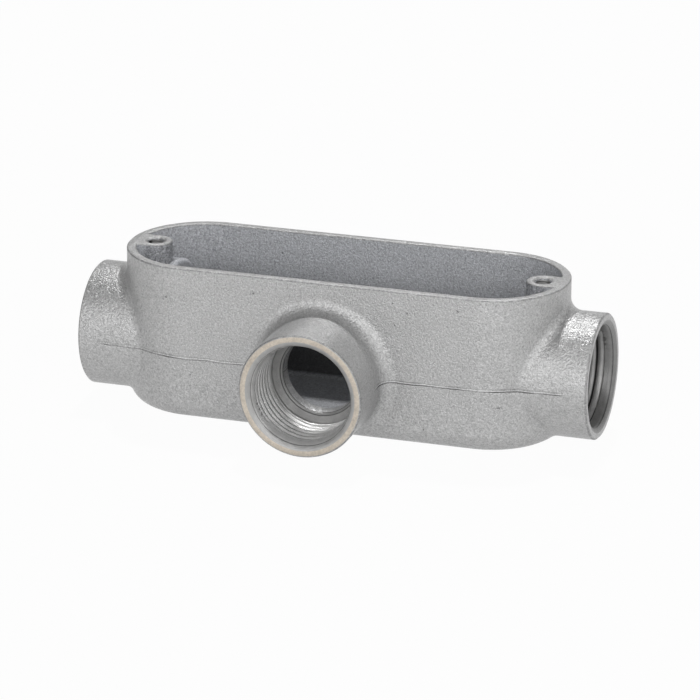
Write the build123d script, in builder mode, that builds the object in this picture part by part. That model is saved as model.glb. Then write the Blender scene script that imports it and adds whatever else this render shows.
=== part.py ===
from build123d import *
import os

# Threaded conduit body of the tee kind: two hubs on the run and one branch hub at the side.
# The real thing is one casting, so it is one solid. The outside is the foundry's pattern, the
# inside is left by its sand core, and the hub bores and screw holes are machined afterwards.
# The origin is the middle of the flat underside: X along the run, the branch hub to -Y,
# the cover opening to +Z. Millimetres and degrees.

# Outside of the body, an obround box with a rounded belly
body_length = 109.0
body_width = 37.0
body_height = 38.4
belly_radius = 5.0
lower_draft = 1.0
rim_edge_bevel = 0.3

# Walls of the cavity
wall_thickness = 2.3
floor_thickness = 2.5
cavity_bottom_radius = 3.0

# Hubs, all three lifted clear of the underside by the same amount, with their axes where the
# mould parts. The blends and the cavity's corner keep a margin from the edges beside them.
hub_diameter = 30.0
hub_lift = 1.2
run_hub_reach = 8.6
branch_hub_reach = 16.7
run_hub_fillet = 3.0
branch_hub_fillet = 3.6
hub_edge_bevel = 0.4
blend_margin = 0.3

# Tapped bore of a hub, depths measured inward from its face
mouth_diameter = 26.8
mouth_bevel_diameter = 24.5
mouth_bevel_depth = 0.65
lead_in_depth = 2.6
bore_diameter = 23.4
shoulder_depth = 14.8
seat_diameter = 19.8
seat_depth = 0.4

# Cast throat behind the bore, the smooth bushing that keeps wires off the threads
throat_diameter = 18.6
throat_edge_bevel = 0.4

# Collars in the ends of the cavity, which carry the inner part of the run hubs' bores
collar_diameter = 34.6
collar_throat_length = 5.7
collar_edge_bevel = 0.8

# Bosses for the two cover screws
screw_inset = 6.2
boss_width = 8.0
screw_hole_diameter = 3.5
screw_hole_depth = 7.0
screw_mouth_diameter = 5.3
screw_mouth_depth = 0.45

# Sizes worked out from the above
cavity_length = body_length - 2 * wall_thickness
cavity_width = body_width - 2 * wall_thickness
cavity_depth = body_height - floor_thickness
end_centre = (body_length - body_width) / 2
run_face_distance = body_length / 2 + run_hub_reach
branch_face_distance = body_width / 2 + branch_hub_reach
hub_radius = hub_diameter / 2
hub_axis_height = hub_lift + hub_radius
blend_room = body_height - rim_edge_bevel - blend_margin - hub_axis_height - hub_radius
collar_radius = collar_diameter / 2
collar_depth = shoulder_depth + collar_throat_length
collar_face = run_face_distance - collar_depth
collar_crown = hub_axis_height + (collar_radius**2 - (boss_width / 2) ** 2) ** 0.5
branch_wall_depth = branch_face_distance - cavity_width / 2
throat_low_edge = hub_axis_height - throat_diameter / 2 - throat_edge_bevel
corner_room = throat_low_edge - blend_margin - floor_thickness
screw_spacing = body_length - 2 * screw_inset

# Planes on the hub faces, each looking outward along its hub
left_hub = Plane(origin=(-run_face_distance, 0, hub_axis_height), x_dir=(0, 0, 1), z_dir=(-1, 0, 0))
right_hub = Plane(origin=(run_face_distance, 0, hub_axis_height), x_dir=(0, 0, 1), z_dir=(1, 0, 0))
branch_hub = Plane(origin=(0, -branch_face_distance, hub_axis_height), x_dir=(0, 0, 1), z_dir=(0, -1, 0))


def off_axis(edge, hub):
    """Distance of an edge's middle from a hub's axis."""
    middle = hub.to_local_coords(edge @ 0.5)
    return (middle.X**2 + middle.Y**2) ** 0.5


def depth(edge, hub):
    """Depth of an edge's middle behind a hub's face."""
    return -hub.to_local_coords(edge @ 0.5).Z


def rings(edges, hub, radius):
    """The edges that run round a hub's axis at a radius, from the face inward, without its seams."""
    around = edges.filter_by(GeomType.LINE, reverse=True)
    around = around.filter_by(lambda edge: abs(off_axis(edge, hub) - radius) < 0.01)
    return around.sort_by(lambda edge: depth(edge, hub))


# Collar: a round stub with its inner edge eased, which stands from its base plane along +Z
with BuildPart() as collar:
    with BuildSketch():
        Circle(collar_radius)
    extrude(amount=cavity_length / 2 - collar_face)
    chamfer(collar.edges().sort_by(Axis.Z)[-1], collar_edge_bevel)


# Core: the sand body that leaves the cavity, hollowed where the collars and bosses stand
with BuildPart() as core:
    with BuildSketch(Plane.XY.offset(floor_thickness)):
        SlotOverall(cavity_length, cavity_width)
    extrude(amount=cavity_depth)
    fillet(core.faces().sort_by(Axis.Z)[0].edges(), min(cavity_bottom_radius, corner_room))
    for side in (-1, 1):
        end = Plane(origin=(side * cavity_length / 2, 0, hub_axis_height), z_dir=(-side, 0, 0))
        with Locations(end):
            add(collar.part, mode=Mode.SUBTRACT)
    with BuildSketch(Plane.XY.offset(body_height)):
        for side in (-1, 1):
            with Locations((side * screw_spacing / 2, 0)):
                Circle(boss_width / 2)
            with Locations((side * (screw_spacing + cavity_length) / 4, 0)):
                Rectangle((cavity_length - screw_spacing) / 2, boss_width)
    extrude(amount=collar_crown - body_height, mode=Mode.SUBTRACT)


# What the tap drill and the facing tool take out of one hub, turned about the hub's axis
with BuildPart() as tapped_bore:
    with BuildSketch(Plane.XZ):
        with BuildLine():
            Polyline(
                (0, 0),
                (mouth_diameter / 2, 0),
                (mouth_bevel_diameter / 2, -mouth_bevel_depth),
                (bore_diameter / 2, -lead_in_depth),
                (bore_diameter / 2, -shoulder_depth),
                (seat_diameter / 2, -shoulder_depth),
                (seat_diameter / 2, -shoulder_depth - seat_depth),
                (throat_diameter / 2 + throat_edge_bevel, -shoulder_depth - seat_depth),
                (throat_diameter / 2, -shoulder_depth - seat_depth - throat_edge_bevel),
                (0, -shoulder_depth - seat_depth - throat_edge_bevel),
                close=True,
            )
        make_face()
    revolve(axis=Axis.Z)


# What the drill and its countersink take out of one screw boss
with BuildPart() as screw_hole:
    with BuildSketch(Plane.XZ):
        with BuildLine():
            Polyline(
                (0, 0),
                (screw_mouth_diameter / 2, 0),
                (screw_hole_diameter / 2, -screw_mouth_depth),
                (screw_hole_diameter / 2, -screw_hole_depth),
                (0, -screw_hole_depth - screw_hole_diameter / 4),
                close=True,
            )
        make_face()
    revolve(axis=Axis.Z)


with BuildPart() as conduit_body:
    # Pattern: upright above the parting plane, drawn in a little below it
    with BuildSketch(Plane.XY.offset(hub_axis_height)):
        SlotOverall(body_length, body_width)
    extrude(amount=body_height - hub_axis_height)
    with BuildSketch(Plane.XY.offset(hub_axis_height)):
        SlotOverall(body_length, body_width)
    extrude(amount=-hub_axis_height, taper=lower_draft)
    fillet(conduit_body.faces().sort_by(Axis.Z)[0].edges(), belly_radius)

    # Hubs, blended into the body
    for hub, hub_length, blend in (
        (left_hub, run_face_distance - end_centre, run_hub_fillet),
        (right_hub, run_face_distance - end_centre, run_hub_fillet),
        (branch_hub, branch_wall_depth, branch_hub_fillet),
    ):
        with BuildSketch(hub):
            Circle(hub_radius)
        extrude(amount=-hub_length)
        fillet(rings(conduit_body.edges(Select.LAST), hub, hub_radius)[1:], min(blend, blend_room))
        chamfer(rings(conduit_body.edges(), hub, hub_radius)[0], hub_edge_bevel)

    # Cavity and throats, as the core leaves them
    add(core.part, mode=Mode.SUBTRACT)
    for hub, throat_end in (
        (left_hub, collar_depth),
        (right_hub, collar_depth),
        (branch_hub, branch_wall_depth),
    ):
        with BuildSketch(hub.offset(-throat_end)):
            Circle(throat_diameter / 2)
        extrude(amount=throat_end - shoulder_depth, mode=Mode.SUBTRACT)
        chamfer(rings(conduit_body.edges(Select.LAST), hub, throat_diameter / 2)[-1], throat_edge_bevel)

    # Tapped bores
    with Locations(left_hub, right_hub, branch_hub):
        add(tapped_bore.part, mode=Mode.SUBTRACT)

    # Rim of the opening, its edges dressed outside and inside
    chamfer(conduit_body.faces().sort_by(Axis.Z)[-1].edges(), rim_edge_bevel)

    # Screw holes
    with Locations(*(Location((side * screw_spacing / 2, 0, body_height)) for side in (-1, 1))):
        add(screw_hole.part, mode=Mode.SUBTRACT)

conduit_body.part.label = "conduit_body"

os.makedirs("parts", exist_ok=True)
export_step(conduit_body.part, "parts/conduit_body.step")
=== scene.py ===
import math
import bmesh
import bpy
import numpy as np
from mathutils import Matrix, Vector


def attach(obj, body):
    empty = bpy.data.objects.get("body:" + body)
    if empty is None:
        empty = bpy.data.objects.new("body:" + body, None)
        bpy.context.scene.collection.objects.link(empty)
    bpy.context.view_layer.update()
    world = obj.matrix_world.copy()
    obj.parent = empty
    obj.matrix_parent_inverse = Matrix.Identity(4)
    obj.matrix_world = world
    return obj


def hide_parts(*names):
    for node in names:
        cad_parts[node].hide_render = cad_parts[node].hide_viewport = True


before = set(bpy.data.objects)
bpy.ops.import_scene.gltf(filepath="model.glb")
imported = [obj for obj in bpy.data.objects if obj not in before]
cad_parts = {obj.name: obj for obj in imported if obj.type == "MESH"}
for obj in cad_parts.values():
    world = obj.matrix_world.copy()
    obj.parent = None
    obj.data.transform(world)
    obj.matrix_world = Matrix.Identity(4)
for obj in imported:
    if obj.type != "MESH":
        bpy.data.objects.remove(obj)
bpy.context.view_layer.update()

# Camera
# A long lens on a tripod, to the right of the branch hub and a little above the opening,
# so that the right hub and the inside of the box both show.
camera_azimuth = math.radians(18.1775)
camera_elevation = math.radians(19.8604)
camera_place = Vector((0.29131, -0.88482, 0.35219))
photo_pixels = 700
focal_pixels = 4146.58

camera_data = bpy.data.cameras.new("camera")
camera_data.sensor_width = 36
camera_data.lens = camera_data.sensor_width * focal_pixels / photo_pixels
camera_data.clip_end = 20
camera = bpy.data.objects.new("camera", camera_data)
backward = Vector((
    math.sin(camera_azimuth) * math.cos(camera_elevation),
    -math.cos(camera_azimuth) * math.cos(camera_elevation),
    math.sin(camera_elevation),
))
rightward = Vector((math.cos(camera_azimuth), math.sin(camera_azimuth), 0))
turn = Matrix((rightward, backward.cross(rightward), backward)).transposed()
camera.matrix_world = Matrix.Translation(camera_place) @ turn.to_4x4()
bpy.context.scene.collection.objects.link(camera)
bpy.context.scene.camera = camera
bpy.context.scene.view_settings.view_transform = "Standard"


# Casting
# One piece of malleable iron, poured in a sand mould around a sand core, and dipped in silver-grey
# lacquer. The hubs are then faced and threaded inside, and the two cover screw holes are tapped.
run_face = 0.0631
branch_face = 0.0352
run_hubs_from = 0.040
hub_height = 0.0162
hub_radius = 0.015
hub_bevel = 0.0004
rim_height = 0.0384
rim_bevel = 0.0003
floor_height = 0.0025
cavity_radius = 0.0162
end_centre = 0.036
collar_radius = 0.0169
collar_middle = 0.0428

# Bore of a hub, with its depths measured inward from the hub's face
mouth_radius = 0.0134
bevel_radius = 0.01225
bore_radius = 0.0117
bore_top = 0.0026
bore_bottom = 0.0148
seat_radius = 0.0099
throat_radius = 0.0093
cut_end = 0.0156
pipe_pitch = 0.001814
pipe_root_radius = 0.01266
pipe_taper = 1 / 32
pipe_thread_end = 0.0136

# Hole for a cover screw, with its depths measured down from the rim
screw_offset = 0.0483
screw_mouth_radius = 0.00265
screw_radius = 0.00175
screw_top = 0.00045
screw_bottom = 0.007
screw_pitch = 0.000794
screw_root_radius = 0.00208
screw_thread_end = 0.0062
flank_slope = math.tan(math.radians(60))


def merged_copy(source, name):
    """A copy of a CAD node's mesh, the doubles along its faces' edges joined, as a bmesh."""
    mesh = source.data.copy()
    mesh.name = name
    shape = bmesh.new()
    shape.from_mesh(mesh)
    bmesh.ops.remove_doubles(shape, verts=shape.verts, dist=2e-7)
    bmesh.ops.dissolve_degenerate(shape, edges=shape.edges, dist=1e-8)
    return mesh, shape


def cut_thread(shape, face, inward, bore, top, bottom, pitch, root, taper, end):
    """Puts a threaded wall in the place of a plain bore's, from one depth behind a face to another.

    The rings at the ends of the plain wall are divided in three and rounded, and each of their
    points gives the angle 2 pi t of a column of the grid. Row k belongs to turn k // 5 of the
    thread. The middle of that groove lies at depth top + pitch * (turn + t - 1/2). Its rows are the
    middle of the crest before it, the groove's near edge, the two edges of its blunt root and its
    far edge, and the groove is as deep as the root radius, less the taper times the depth, less the
    bore. It runs out to nothing within half a pitch of both ends. Depths are held between top and
    bottom, so the first and last rows close up into the rings and merge with them.
    """
    third = Vector(inward).normalized()
    first = third.orthogonal().normalized()
    second = third.cross(first)
    origin = Vector(face)

    def on_wall(vert):
        away = vert.co - origin
        along = away.dot(third)
        across = (away - along * third).length
        return abs(across - bore) < 2e-5 and top - 1e-6 < along < bottom + 1e-6

    wall = [part for part in shape.faces if all(on_wall(vert) for vert in part.verts)]
    edges = {edge for part in wall for edge in part.edges}
    bmesh.ops.delete(shape, geom=wall, context="FACES_ONLY")
    bmesh.ops.delete(shape, geom=[edge for edge in edges if not edge.link_faces], context="EDGES")
    rims = [edge for edge in edges if edge.is_valid]
    bmesh.ops.subdivide_edges(shape, edges=rims, cuts=2)
    ring = [vert for vert in shape.verts if vert.is_boundary]
    columns = []
    for vert in ring:
        away = vert.co - origin
        along = away.dot(third)
        across = (away - along * third).normalized()
        vert.co = origin + along * third + bore * across
        if along < (top + bottom) / 2:
            columns.append(math.atan2(across.dot(second), across.dot(first)) / (2 * math.pi) % 1)

    turns = np.arange(int((bottom - top) / pitch) + 3)
    t = np.sort(np.array(columns))
    around = len(t)
    middle = top + pitch * (turns[None, :] + t[:, None] - 0.5)
    fade = np.clip((middle - top) / pitch / 0.5, 0, 1) * np.clip((end - middle) / pitch / 0.5, 0, 1)
    groove = np.clip(root - taper * middle - bore, 0, None) * fade
    blunt = 0.03 * pitch * (groove > 0)
    half = groove / flank_slope + blunt
    depth = np.stack([middle - pitch / 2, middle - half, middle - blunt, middle + blunt, middle + half], -1)
    zero = np.zeros_like(groove)
    radius = bore + np.stack([zero, zero, groove, groove, zero], -1)
    depth = depth.reshape(around, -1)
    depth = np.where(depth < top + 1e-5, top, np.where(depth > bottom - 1e-5, bottom, depth))
    radius = np.where((depth > top) & (depth < bottom), radius.reshape(around, -1), bore)
    angle = 2 * math.pi * t[:, None]
    place = (
        np.array(origin)
        + depth[..., None] * np.array(third)
        + (radius * np.cos(angle))[..., None] * np.array(first)
        + (radius * np.sin(angle))[..., None] * np.array(second)
    )
    rows = depth.shape[1]
    index = np.arange(around * rows).reshape(around, rows)
    body = np.stack([index[:-1, :-1], index[1:, :-1], index[1:, 1:], index[:-1, 1:]], -1).reshape(-1, 4)
    seam = np.stack([index[-1, :-6], index[0, 5:-1], index[0, 6:], index[-1, 1:-5]], -1)
    grid = bpy.data.meshes.new("thread")
    grid.from_pydata(place.reshape(-1, 3).tolist(), [], np.concatenate([body, seam]).tolist())
    before = set(shape.verts) - set(ring)
    shape.from_mesh(grid)
    bpy.data.meshes.remove(grid)
    bmesh.ops.remove_doubles(shape, verts=[vert for vert in shape.verts if vert not in before], dist=1e-6)


casting_mesh, shape = merged_copy(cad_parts["conduit_body"], "casting")
for face, inward in (
    ((-run_face, 0, hub_height), (1, 0, 0)),
    ((run_face, 0, hub_height), (-1, 0, 0)),
    ((0, -branch_face, hub_height), (0, 1, 0)),
):
    cut_thread(
        shape, face, inward, bore_radius, bore_top, bore_bottom,
        pipe_pitch, pipe_root_radius, pipe_taper, pipe_thread_end,
    )
for side in (-1, 1):
    cut_thread(
        shape, (side * screw_offset, 0, rim_height), (0, 0, -1), screw_radius, screw_top, screw_bottom,
        screw_pitch, screw_root_radius, 0, screw_thread_end,
    )
bmesh.ops.recalc_face_normals(shape, faces=shape.faces)
shape.to_mesh(casting_mesh)
shape.free()
casting = bpy.data.objects.new("casting", casting_mesh)
bpy.context.scene.collection.objects.link(casting)


class Wire:
    """An output socket of a material's node. Sums, products and powers of wires add Math nodes."""

    def __init__(self, tree, socket=None):
        self.tree = tree
        self.socket = socket

    def node(self, kind, settings=None, sockets=None, out=0):
        """Adds a node and sets its settings, then its sockets' values or links."""
        made = self.tree.nodes.new(kind)
        for name, value in (settings or {}).items():
            setattr(made, name, value)
        for name, value in (sockets or {}).items():
            if isinstance(value, Wire):
                self.tree.links.new(value.socket, made.inputs[name])
            else:
                made.inputs[name].default_value = value
        return Wire(self.tree, made.outputs[out])

    def output(self, name):
        """Another output of the same node."""
        return Wire(self.tree, self.socket.node.outputs[name])

    def math(self, operation, *values):
        """A Math node on this wire and the values."""
        return self.node("ShaderNodeMath", {"operation": operation}, dict(enumerate((self,) + values)))

    def __add__(self, other):
        return self.math("ADD", other)

    __radd__ = __add__

    def __sub__(self, other):
        return self.math("SUBTRACT", other)

    def __rsub__(self, other):
        return self.math("MULTIPLY_ADD", -1, other)

    def __mul__(self, other):
        return self.math("MULTIPLY", other)

    __rmul__ = __mul__

    def __truediv__(self, other):
        return self.math("DIVIDE", other)

    def __pow__(self, other):
        return self.math("POWER", other)

    def rise(self, low, high):
        """0 below low, 1 above high and a smooth step between them."""
        return self.node(
            "ShaderNodeMapRange", {"interpolation_type": "SMOOTHSTEP"},
            {"Value": self, "From Min": low, "From Max": high},
        )

    def mix(self, first, second):
        """A colour between two, by this wire."""
        return self.node("ShaderNodeMix", {"data_type": "RGBA"}, {0: self, 6: first, 7: second}, 2)


def material(name):
    """A new material, its Principled shader and a wire to start its expressions from."""
    made = bpy.data.materials.new(name)
    made.use_nodes = True
    tree = made.node_tree
    return made, tree.nodes["Principled BSDF"], Wire(tree)


def link(shader, name, wire):
    """Feeds a shader's socket from a wire."""
    wire.tree.links.new(wire.socket, shader.inputs[name])


def noise(start, place, size, detail, rough):
    """Noise from 0 to 1 with blobs of about the given size in metres."""
    return start.node(
        "ShaderNodeTexNoise", {},
        {"Vector": place, "Scale": 1 / size, "Detail": detail, "Roughness": rough},
    )


def tinted(tone, tint):
    """A colour from a grey tone and the shares of it that red, green and blue take."""
    channels = {name: tone * share for name, share in zip(("Red", "Green", "Blue"), tint)}
    return tone.node("ShaderNodeCombineColor", {}, channels)


def bumped(height, strength, distance):
    """The normal of a relief in which a height of 1 stands for the given distance in metres."""
    return height.node(
        "ShaderNodeBump", {}, {"Strength": strength, "Distance": distance, "Height": height}, "Normal"
    )


def from_hub_axis(start, place):
    """How far a point lies from the axis of its hub, its depth behind the face, and 1 on a run hub."""
    apart = start.node("ShaderNodeSeparateXYZ", {}, {0: place})
    beside_run = apart.math("ABSOLUTE")
    y = apart.output("Y")
    lift = (apart.output("Z") - hub_height) ** 2
    on_run = beside_run.math("GREATER_THAN", run_hubs_from)
    radius = (lift + (y ** 2) * on_run + (beside_run ** 2) * (1 - on_run)).math("SQRT")
    depth = (run_face - beside_run) * on_run + (y + branch_face) * (1 - on_run)
    return radius, depth, on_run


# Lacquer over the sand-cast skin: a coarse, even grain, a few soft swellings, small pits, and the
# seam that the two halves of the mould leave along the middle of the hubs, painted lighter on its
# ridge, with painted shade beside it. The cast edges are worn bright in places. Inside the box,
# painted shade darkens the lacquer towards the bottom, the floor itself is kept lighter, and a
# painted highlight lies along the collars' edges.
seam_end = 0.0555
seam_branch_end = 0.0265
lacquer, lacquer_shader, start = material("silver_lacquer")
place = start.node("ShaderNodeTexCoord", out="Object")
x = start.node("ShaderNodeSeparateXYZ", {}, {0: place})
y, z = x.output("Y"), x.output("Z")
beside_middle = x.math("ABSOLUTE")
radius, depth, _ = from_hub_axis(start, place)
speckle = noise(start, place, 0.00028, 1, 0.5) - 0.5
grain = noise(start, place, 0.00056, 2, 0.6) - 0.5
lumps = noise(start, place, 0.0016, 2, 0.55) - 0.5
patch = noise(start, place, 0.008, 3, 0.5) - 0.5

# Where a point lies: in the box or outside it, on a worn edge, on a screw boss, on a collar's edge
from_end = ((beside_middle - end_centre).math("MAXIMUM", 0) ** 2 + y ** 2).math("SQRT")
within_wall = 1 - from_end.rise(cavity_radius - 0.0001, cavity_radius + 0.0007)
below_rim = z.math("LESS_THAN", rim_height - rim_bevel)
inside = below_rim * z.math("GREATER_THAN", floor_height - 0.0001) * within_wall
rim_edge = z.rise(rim_height - 0.0004, rim_height - 0.00028) * (1 - z.rise(rim_height - 0.00006, rim_height))
hub_edge = radius.rise(hub_radius - 0.00045, hub_radius - 0.0003) * (1 - depth.rise(0.00035, 0.0005))
edges = rim_edge.math("MAXIMUM", hub_edge)
from_screw = ((beside_middle - screw_offset) ** 2 + y ** 2).math("SQRT")
boss = 1 - from_screw.rise(0.0041, 0.0044)
# The collars' edges, where a painted highlight goes
collar_round = 1 - (radius - collar_radius).math("ABSOLUTE").rise(0.0004, 0.0008)
collar_edge_highlight = collar_round * (1 - (beside_middle - collar_middle).math("ABSOLUTE").rise(0.0005, 0.0009))

# The seam: a ridge that wanders and fades. Its top carries a painted highlight, and painted shade lies in a
# dark line close on either side, stronger below it
seam_wander = (noise(start, place, 0.009, 2, 0.5) - 0.5) * 0.0008
seam_reach = (1 - beside_middle.rise(seam_end, seam_end + 0.003)) * (y + seam_branch_end).rise(0, 0.004)
seam_weight = 0.45 + noise(start, place, 0.006, 1, 0.5).rise(0.35, 0.6) * 0.55
seam_fade = seam_reach * (1 - inside) * seam_weight
above_seam = z - hub_height - seam_wander
from_seam = above_seam.math("ABSOLUTE")
seam = (1 - from_seam.rise(0.00002, 0.0002)) * seam_fade * (x + 0.05).rise(0, 0.014)
both_sides = 1 - (from_seam - 0.0003).math("ABSOLUTE").rise(0.00004, 0.00022)
seam_shade = both_sides * seam_fade * (1 - above_seam.rise(-0.00005, 0.00005) * 0.6)

# Pits: small ones scattered where the skin is uneven, and six larger ones on the branch hub's side
cells = start.node("ShaderNodeTexVoronoi", {}, {"Vector": place, "Scale": 1 / 0.0036}, "Distance")
kept = start.node("ShaderNodeSeparateColor", {}, {0: cells.output("Color")}).math("GREATER_THAN", 0.75)
pits = (1 - cells.rise(0.03, 0.085)) * kept * patch.rise(-0.08, 0.1)
for spot in (
    (-0.0390, -0.0182, 0.0308), (-0.0170, -0.0185, 0.0342), (0.0207, -0.0185, 0.0334),
    (0.0330, -0.0185, 0.0352), (0.0248, -0.0185, 0.0050), (0.0428, -0.0172, 0.0120),
):
    away = place.node("ShaderNodeVectorMath", {"operation": "DISTANCE"}, {0: place, 1: spot}, "Value")
    pits = pits.math("MAXIMUM", 1 - (away + speckle * 0.0006).rise(0.0001, 0.0004))

# Colour, gloss and relief from all of these, with chips of bright iron along the edges
chips = edges * noise(start, place, 0.0013, 2, 0.6).rise(0.54, 0.66)
tone = 0.43 + patch * 0.06 + grain * 0.40 + speckle * 0.26 + lumps * 0.04
# The seam's dark lines are painted shade, and its lighter ridge is a painted highlight
tone = tone * (1 - seam_shade * 0.75) * (1 - pits * 0.5) * (1 - edges * 0.25)
tone = tone + seam * 0.23 + chips * 0.14
# Inside the box: painted shade darkens the colour towards the bottom and tints it a little blue. The floor
# itself is kept lighter, and the screw bosses are darker and more mottled. A painted highlight lies along
# the collars' edges.
on_floor = 1 - z.rise(floor_height + 0.0001, floor_height + 0.0009)
inside_shade_and_mottle = 0.1 + z.rise(0.01, 0.030) * 0.9 + on_floor * 0.6
inside_shade_and_mottle = inside_shade_and_mottle * (1 + grain * (0.4 + boss * 1.2) + lumps * 0.15) * (1 - boss * 0.35) * (1 + collar_edge_highlight * 0.25)
shaded_inside = tinted(tone * inside_shade_and_mottle, (0.94, 0.96, 1.01))
link(lacquer_shader, "Base Color", inside.mix(tinted(tone, (1, 1, 1)), shaded_inside))
link(lacquer_shader, "Roughness", 0.355 + inside * 0.18 + edges * 0.15 + patch * 0.1 + lumps * 0.15)
link(lacquer_shader, "Metallic", 0.5 - inside * 0.3 + chips * 0.1)
height = speckle * 0.4 + grain + lumps * 0.6 + patch * 1.5 + seam * 0.8 - seam_shade * 0.4 - pits * 0.8
link(lacquer_shader, "Normal", bumped(height, 1.0, 0.00016))

# Bright iron in the hub bores and screw holes, with tool marks running round the axis. Painted shade
# darkens the roots of the threads, the creases between the cuts, the shoulder at the bottom of the
# bore, the mouth bevel, the run hubs' bores and the screw holes.
cut_metal, cut_shader, start = material("cut_iron")
place = start.node("ShaderNodeTexCoord", out="Object")
radius, depth, on_run = from_hub_axis(start, place)
turned = (radius + depth * 0.7) * 9000
marks = start.node("ShaderNodeTexNoise", {"noise_dimensions": "1D"}, {"W": turned, "Detail": 2.0}) - 0.5
stain = noise(start, place, 0.0022, 3, 0.6) - 0.5
# The thread roots, which are darkened below as painted shade
groove = (radius - bore_radius) / (pipe_root_radius - bore_radius - depth * pipe_taper)
runout = depth.rise(pipe_thread_end - 0.0006, pipe_thread_end)
groove = groove.rise(0.45, 0.75) * depth.rise(bore_top, bore_top + 0.0006) * (1 - runout)
crease_shade = 1 - (radius - bevel_radius).math("ABSOLUTE").rise(0.00002, 0.0001)
for edge in (seat_radius, throat_radius):
    crease_shade = crease_shade.math("MAXIMUM", 1 - (radius - edge).math("ABSOLUTE").rise(0.00003, 0.00013))
shoulder_shade = depth.rise(0.0134, 0.0142) * radius.math("LESS_THAN", 0.013)
lead_in = depth.rise(0.0024, 0.0034) * (0.4 + on_run * 0.6)
mouth_shade = 1 - lead_in - depth.rise(0.0005, 0.0008) * (1 - on_run) * 0.6
screw_hole = radius.math("GREATER_THAN", 0.0135)
# Painted shade darkens the roots, the creases, the shoulder, the mouth bevel, the run hubs' bores and the
# screw holes
tone = 0.68 + stain * 0.36 + marks * 0.36
tone = tone * (1 - groove * 0.93) * (1 - crease_shade * 0.7) * (1 - shoulder_shade * 0.6)
tone = tone * (1 - mouth_shade * 0.46) * (1 - on_run * 0.4) * (1 - screw_hole * 0.35)
link(cut_shader, "Base Color", tinted(tone, (1, 0.995, 0.985)))
cut_shader.inputs["Metallic"].default_value = 0.42
link(cut_shader, "Roughness", 0.34 + groove * 0.3 + stain * 0.15)
height = marks * 0.5 + stain * 0.8 + noise(start, place, 0.0006, 2, 0.6) * 0.5
link(cut_shader, "Normal", bumped(height, 0.8, 0.00008))

# The branch hub's end, faced after the dip and left bare: warm grey, dull, finely pitted.
faced_metal, faced_shader, start = material("bare_face")
place = start.node("ShaderNodeTexCoord", out="Object")
grain = noise(start, place, 0.0005, 3, 0.6) - 0.5
patch = noise(start, place, 0.004, 2, 0.5) - 0.5
tone = 0.50 + grain * 0.4 + patch * 0.2
link(faced_shader, "Base Color", tinted(tone, (1.05, 0.94, 0.80)))
link(faced_shader, "Roughness", 0.5 + grain * 0.2)
faced_shader.inputs["Metallic"].default_value = 0.25
link(faced_shader, "Normal", bumped(grain, 0.8, 0.00008))

casting.data.materials.clear()
for finish in (lacquer, cut_metal, faced_metal):
    casting.data.materials.append(finish)

# Each face takes its finish by where it lies: 0 is lacquer, 1 is cut iron and 2 is the bare end
hair = 0.00001
centres = np.empty(len(casting.data.polygons) * 3)
casting.data.polygons.foreach_get("center", centres)
centres = centres.reshape(-1, 3)
finish_index = np.zeros(len(centres), dtype=np.int32)
lift = centres[:, 2] - hub_height
run_along, run_across = run_face - np.abs(centres[:, 0]), np.hypot(centres[:, 1], lift)
branch_along, branch_across = branch_face + centres[:, 1], np.hypot(centres[:, 0], lift)
for along, across in ((run_along, run_across), (branch_along, branch_across)):
    finish_index[(across < mouth_radius + 0.00005) & (along > hair) & (along < cut_end + hair)] = 1
face_outer = hub_radius - hub_bevel + 0.00002
bare = (branch_across > mouth_radius - 0.0001) & (branch_across < face_outer) & (branch_along < hair)
finish_index[bare] = 2
screw_away = np.hypot(np.abs(centres[:, 0]) - screw_offset, centres[:, 1])
drilled = (centres[:, 2] > 0.03) & (centres[:, 2] < rim_height - screw_top)
finish_index[(screw_away < screw_mouth_radius + hair) & drilled] = 1
casting.data.polygons.foreach_set("material_index", finish_index)
casting.data.shade_smooth()
casting.data.set_sharp_from_angle(angle=math.radians(32))
weights = casting.modifiers.new("weights", "WEIGHTED_NORMAL")
weights.keep_sharp = True
weights.weight = 100
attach(casting, "root")
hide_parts("conduit_body")


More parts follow.
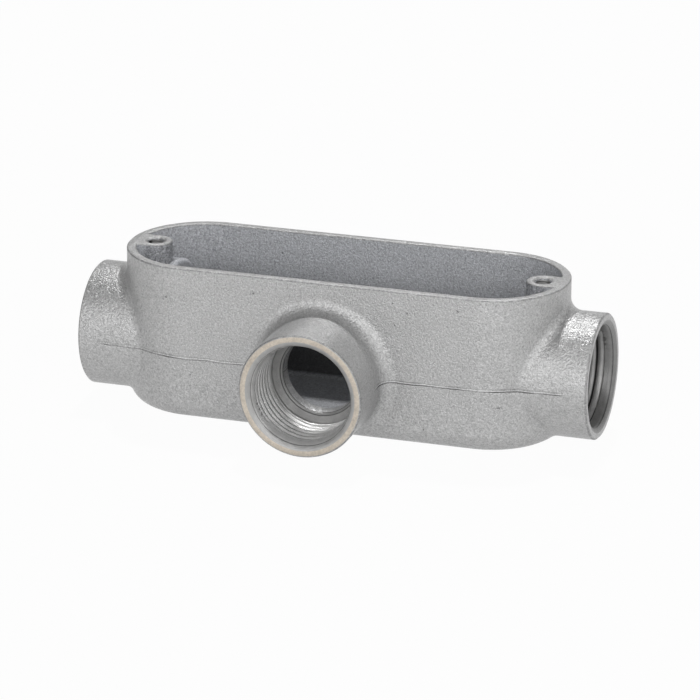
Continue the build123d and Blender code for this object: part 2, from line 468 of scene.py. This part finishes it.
# Studio
# A white table that goes on out of the picture, in a room with white walls and a dark ceiling. A
# wide softbox stands in front, a smaller one to the right, and a small lamp hangs high behind.
paper_share = 0.965
floor_mesh = bpy.data.meshes.new("floor")
floor_mesh.from_pydata([(-6, -6, 0), (6, -6, 0), (6, 6, 0), (-6, 6, 0)], [], [(0, 1, 2, 3)])
floor = bpy.data.objects.new("floor", floor_mesh)
bpy.context.scene.collection.objects.link(floor)
floor_finish, floor_shader, start = material("white_table")
floor_shader.inputs["Base Color"].default_value = (0.5, 0.5, 0.5, 1)
floor_shader.inputs["Roughness"].default_value = 0.9
ray = start.node("ShaderNodeLightPath", out="Is Camera Ray")
seen = ray.math("MAXIMUM", ray.output("Is Glossy Ray")).math("MAXIMUM", ray.output("Is Transmission Ray"))
paper = start.node("ShaderNodeEmission", {}, {"Color": (1, 1, 1, 1), "Strength": 1.0})
table = Wire(start.tree, floor_shader.outputs[0])
blend = start.node("ShaderNodeMixShader", {}, {0: seen * paper_share, 1: table, 2: paper})
start.tree.links.new(blend.socket, start.tree.nodes["Material Output"].inputs["Surface"])
floor_mesh.materials.append(floor_finish)

world = bpy.data.worlds.new("room")
world.use_nodes = True
bpy.context.scene.world = world
room = world.node_tree.nodes["Background"]
start = Wire(world.node_tree)
sideways = start.node("ShaderNodeSeparateXYZ", {}, {0: start.node("ShaderNodeTexCoord", out="Generated")})
upward = sideways.output("Z")
leftward = (-1 * sideways).rise(0.1, 0.9) * upward.rise(0.01, 0.15)
link(room, "Strength", (1 - upward.rise(0.1, 0.5) * 0.97) * (1 - leftward * 0.8))
room.inputs["Color"].default_value = (1, 1, 1, 1)


def softbox(name, place, target, width, height, power):
    """A rectangular lamp at a place, turned to a target."""
    lamp = bpy.data.lights.new(name, "AREA")
    lamp.shape = "RECTANGLE"
    lamp.size = width
    lamp.size_y = height
    lamp.energy = power
    made = bpy.data.objects.new(name, lamp)
    made.location = place
    made.rotation_euler = (Vector(target) - Vector(place)).to_track_quat("-Z", "Y").to_euler()
    bpy.context.scene.collection.objects.link(made)


middle = (0, 0, 0.02)
softbox("front", (0.062, -1.225, 0.670), middle, 2.0, 0.8, 14.2)
softbox("right", (1.093, -0.464, 0.742), middle, 0.9, 0.68, 3.7)
softbox("high_back", (-0.114, 0.647, 1.37), middle, 0.1, 0.1, 13.6)
